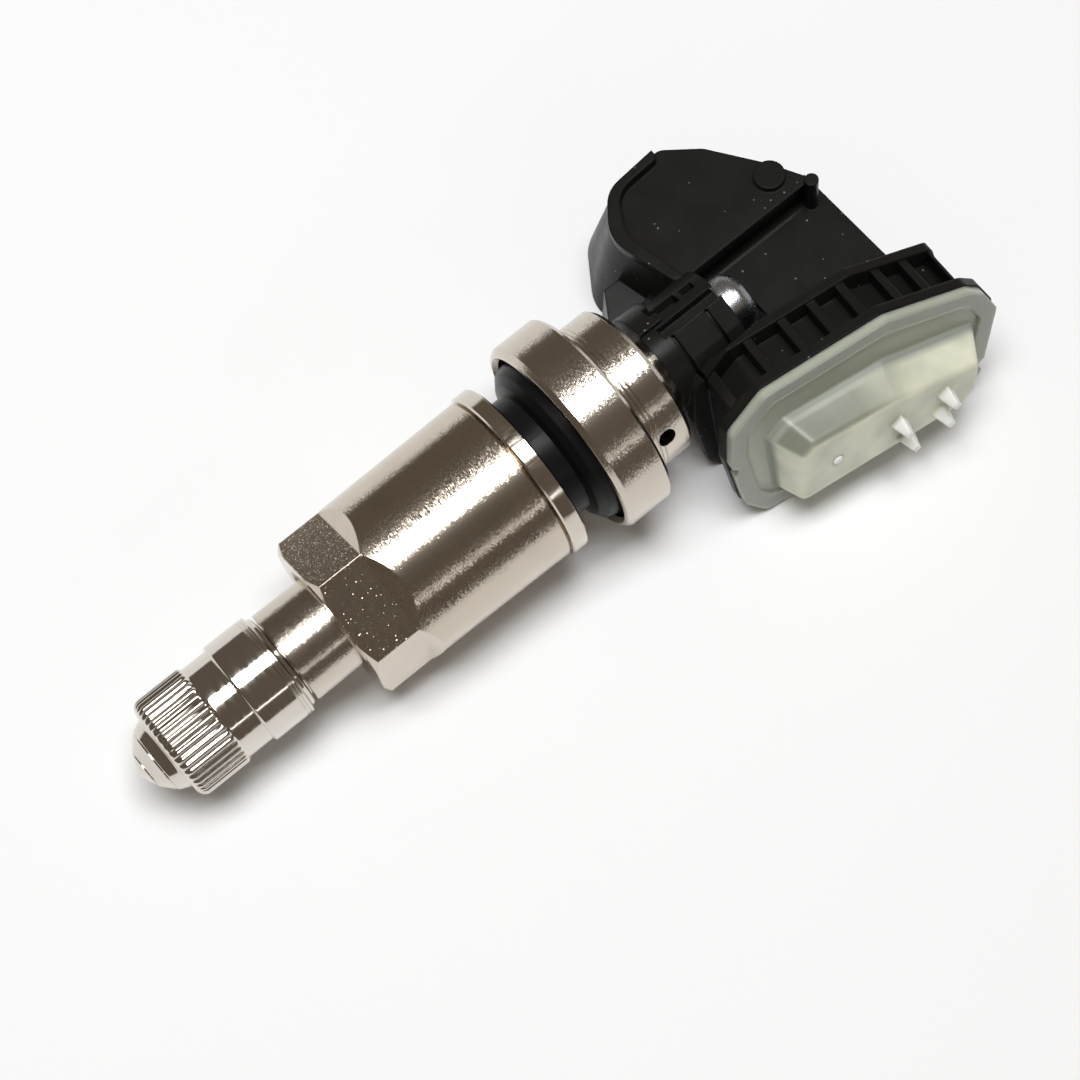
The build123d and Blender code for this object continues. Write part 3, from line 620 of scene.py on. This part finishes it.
cover_body = blend(milky_cover, on_block, cover_flange, cover_block)
cover_colour = blend(milky_cover, on_gate, cover_body, COVER_GATE)
cover_tree.links.new(cover_colour, cover_shader.inputs["Base Color"])
cover_tree.links.new(cover_normal, cover_shader.inputs["Normal"])
cover_shader.inputs["Roughness"].default_value = COVER_ROUGHNESS
cover_shader.inputs["Subsurface Weight"].default_value = 1.0
cover_shader.inputs["Subsurface Radius"].default_value = COVER_GLOW_RADIUS
cover_shader.inputs["Subsurface Scale"].default_value = COVER_GLOW_SCALE
dress(milky_cover, "potting_cover")

# Port plug: a white porous button that lets air through to the pressure chip. It is pressed into the
# port of the cover and stands a little proud of it.
PLUG_WHITE = (0.90, 0.90, 0.88)
PLUG_AT = (0.0093, -0.0064)
PLUG_R = 0.00047
PLUG_SINK = 0.0006
PLUG_RISE = 0.0002
PLUG_RINGS = 8
PLUG_TURNS = 24
plug_lift = np.linspace(0.0, 0.5 * np.pi, PLUG_RINGS, endpoint=False)
# The skin is a straight wall, then a dome: radius by the cosine and height by the sine of the lift
plug_radius = np.concatenate([[PLUG_R], PLUG_R * np.cos(plug_lift)])[:, None, None]
plug_height = np.concatenate([[-PLUG_SINK], PLUG_RISE * np.sin(plug_lift)])[:, None, None]
plug_angle = np.linspace(0.0, 2.0 * np.pi, PLUG_TURNS, endpoint=False)[None, :, None]
plug_side = plug_radius * (np.cos(plug_angle) * along_cover + np.sin(plug_angle) * up_cover)
plug_skin = (plug_side + plug_height * out_cover).reshape(-1, 3)
plug_poles = np.array([-PLUG_SINK, PLUG_RISE])[:, None] * out_cover
plug_middle = (
    np.array(COVER_AXIS) + PLUG_AT[0] * along_cover + PLUG_AT[1] * up_cover + BLOCK_TOP * out_cover
)
plug_points = np.concatenate([plug_skin, plug_poles]) + plug_middle
white_plug = mottled("white_plug", PLUG_WHITE, roughness=(0.4, 0.6), scale=4000.0)
port_plug = new_piece("port_plug", plug_points, closed_faces(PLUG_RINGS + 1, PLUG_TURNS), white_plug)
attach(port_plug, "sensor")

# Electronics sealed in the housing: a green board with soldered pieces and an antenna strip on its
# face, and a steel coin cell between two nickel tabs that run to the back of the board.
BOARD_GREEN = (0.02, 0.14, 0.06)
BOARD_DARK = (0.015, 0.11, 0.05)
BOARD_LIGHT = (0.03, 0.18, 0.08)
BOARD_ROUGHNESS = (0.25, 0.4)
# Rows: finish, colour, roughness, grain, depth of the lines, CAD nodes
METAL_PIECES = (
    ("cell_steel", (0.68, 0.68, 0.68), (0.2, 0.34), (1200.0, 1200.0, 0.05), 0.00001,
     ("coin_cell", "rf_crystal")),
    ("strip_nickel", (0.68, 0.65, 0.6), (0.22, 0.36), (1500.0, 900.0, 0.05), 0.00001,
     ("battery_tab_negative", "battery_tab_positive", "antenna_strip")),
    ("copper_wire", (0.70, 0.32, 0.14), (0.2, 0.34), (9000.0, 400.0, 0.1), 0.00002,
     ("coil_winding",)),
)
# Rows: finish, colour, colour of the specks, roughness, CAD nodes
SOLDERED_PIECES = (
    ("chip_black", (0.02, 0.02, 0.021), (0.08, 0.08, 0.08), (0.45, 0.6), ("pressure_chip",)),
    ("ferrite", (0.05, 0.05, 0.054), (0.1, 0.1, 0.1), (0.5, 0.7), ("coil_core",)),
    ("capacitor_tan", (0.42, 0.31, 0.19), (0.5, 0.4, 0.3), (0.4, 0.55),
     ("chip_capacitor_a", "chip_capacitor_b")),
)
SOLDERED_CELLS = 2200.0
SOLDERED_DEPTH = 0.00001
board_green, board_shader = new_finish("board_green", BOARD_GREEN)
board_tree = board_green.node_tree
board_clouds = noise(board_tree, object_place(board_tree), scale=900.0, detail=2.0)
board_colour = blend(board_green, board_clouds, BOARD_DARK, BOARD_LIGHT)
board_tree.links.new(board_colour, board_shader.inputs["Base Color"])
board_gloss = spread(board_green, board_clouds, *BOARD_ROUGHNESS)
board_tree.links.new(board_gloss, board_shader.inputs["Roughness"])
dress(board_green, "circuit_board")
for name, colour, roughness, grain, depth, pieces in METAL_PIECES:
    dress(turned_metal(name, colour, roughness, grain, depth), *pieces)
for name, colour, speck, roughness, pieces in SOLDERED_PIECES:
    dress(moulded(name, colour, speck, roughness, SOLDERED_CELLS, SOLDERED_DEPTH), *pieces)

# Table: a plain white sheet. The part lies on the nut's hexagon, the collar and the housing's front
# edge, so the sheet falls a little along the valve axis. Far from the part it thins out into the white
# of the room.
SHEET_WHITE = (0.955, 0.972, 0.99)
SHEET_ROUGHNESS = 0.7
SHEET_SPECULAR = 0.2
TABLE_REACH = 0.5
TABLE_FADE = (0.10, 0.26)
TABLE_FALL = -0.075
TABLE_AT_COLLAR = (0.0036, -0.0092)
white_sheet, sheet_shader = new_finish("white_sheet", SHEET_WHITE)
sheet_shader.inputs["Roughness"].default_value = SHEET_ROUGHNESS
sheet_shader.inputs["Specular IOR Level"].default_value = SHEET_SPECULAR
sheet_tree = white_sheet.node_tree
sheet_away = vector_worked(sheet_tree, "LENGTH", object_place(sheet_tree))
sheet_shown = spread(white_sheet, sheet_away, 1.0, 0.0, *TABLE_FADE)
sheet_tree.links.new(sheet_shown, sheet_shader.inputs["Alpha"])
# The sheet's height goes evenly with the place along the axis, on a grid of three by three points
table_line = np.linspace(-TABLE_REACH, TABLE_REACH, 3)
table_along, table_side = np.meshgrid(table_line, table_line)
table_height = TABLE_AT_COLLAR[1] + TABLE_FALL * (table_along - TABLE_AT_COLLAR[0])
sheet_points = np.stack([table_along, table_side, table_height], axis=-1).reshape(-1, 3)
corner = (np.arange(2)[:, None] * 3 + np.arange(2)[None, :]).reshape(-1)
sheet_faces = np.stack([corner, corner + 1, corner + 4, corner + 3], axis=-1)
table = new_piece("table", sheet_points, sheet_faces.tolist(), white_sheet)

# Light: a soft box over the part, a narrow strip low on the cover's side and a dim warm room, which is
# white behind the part and below its horizon, also where metal mirrors it.
ROOM_DIM = (0.13, 0.106, 0.085)
ROOM_WHITE = (1.0, 1.0, 1.0)
ROOM_EDGE = (-0.14, -0.06)
# Rows: name, place, size, power in watts
BOX_LIGHTS = (
    ("soft_box", (0.02, 0.075, 0.63), (0.44, 0.23), 3.9),
    ("strip_box", (-0.05, -0.66, 0.40), (0.7, 0.04), 0.20),
)
for name, place, size, power in BOX_LIGHTS:
    lamp = bpy.data.lights.new(name, "AREA")
    lamp.shape = "RECTANGLE"
    lamp.size, lamp.size_y = size
    lamp.energy = power
    lamp_object = bpy.data.objects.new(name, lamp)
    lamp_object.location = place
    lamp_object.rotation_euler = (-Vector(place)).to_track_quat("-Z", "Y").to_euler()
    bpy.context.scene.collection.objects.link(lamp_object)
room = bpy.data.worlds.new("room")
bpy.context.scene.world = room
room.use_nodes = True
room_tree = room.node_tree
room_rays = room_tree.nodes.new("ShaderNodeLightPath").outputs
room_way = room_tree.nodes.new("ShaderNodeTexCoord").outputs["Generated"]
room_below = spread(room, axes_of(room_tree, room_way)["Z"], 1.0, 0.0, *ROOM_EDGE)
room_shown = worked(room_tree, "MAXIMUM", room_rays["Is Glossy Ray"], room_rays["Is Transmission Ray"])
room_mirrored = worked(room_tree, "MULTIPLY", room_shown, room_below)
room_white = worked(room_tree, "MAXIMUM", room_rays["Is Camera Ray"], room_mirrored)
room_light = room_tree.nodes["Background"]
room_tree.links.new(blend(room, room_white, ROOM_DIM, ROOM_WHITE), room_light.inputs["Color"])
room_light.inputs["Strength"].default_value = 1.0

# Camera: above the part and on the cap's side, close, as the photograph was taken. Its place, its look
# and its lens are fitted to the photograph.
CAMERA_AT = (-0.0338, -0.04258, 0.18976)
CAMERA_LOOK = (0.1570, 0.1896, -0.9692)
CAMERA_LENS = 81.13
CAMERA_SENSOR = 36.0
CAMERA_NEAR = 0.01
camera = bpy.data.cameras.new("camera")
camera.lens = CAMERA_LENS
camera.sensor_width = CAMERA_SENSOR
camera.clip_start = CAMERA_NEAR
camera_object = bpy.data.objects.new("camera", camera)
camera_object.location = CAMERA_AT
camera_object.rotation_euler = Vector(CAMERA_LOOK).to_track_quat("-Z", "Y").to_euler()
bpy.context.scene.collection.objects.link(camera_object)
bpy.context.scene.camera = camera_object
bpy.context.scene.view_settings.view_transform = "Standard"
